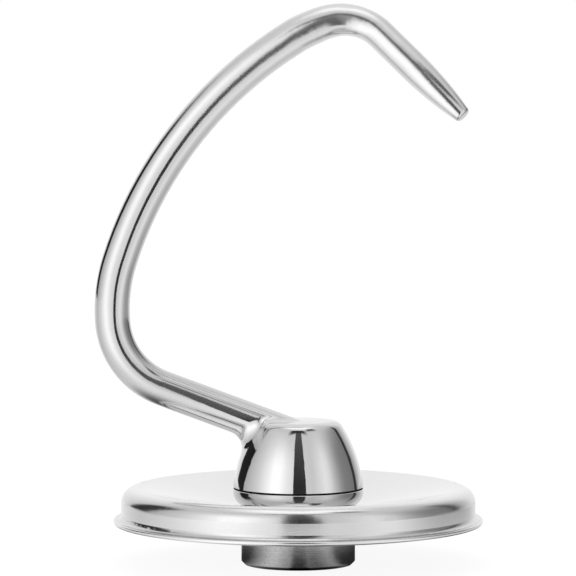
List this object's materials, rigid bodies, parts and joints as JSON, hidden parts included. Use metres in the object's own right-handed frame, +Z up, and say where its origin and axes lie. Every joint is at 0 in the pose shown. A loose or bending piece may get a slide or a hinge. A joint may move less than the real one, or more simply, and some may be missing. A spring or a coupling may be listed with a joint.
{
  "type": "stand mixer dough hook",
  "caption": "Polished steel dough hook with a bent arm on a tapered hub, a dished dough shield and a bored bayonet coupling for a mixer shaft.",
  "frame": {"origin": "centre of the coupling's mouth, on the drive shaft's axis", "axes": "+Z up the drive shaft's axis, away from the mixer; the arm leaves the hub towards -X"},
  "size_m": [0.1023, 0.0974, 0.1475],
  "materials": {
    "polished_steel": "polished",
    "polished_ring": "polished",
    "satin_sheet": "satin",
    "turned_steel": "satin"
  },
  "bodies": {
    "root": {"hook": "polished_steel", "clamp_ring": "polished_ring", "dough_shield": "satin_sheet", "coupling_sleeve": "turned_steel"}
  },
  "joints": []
}
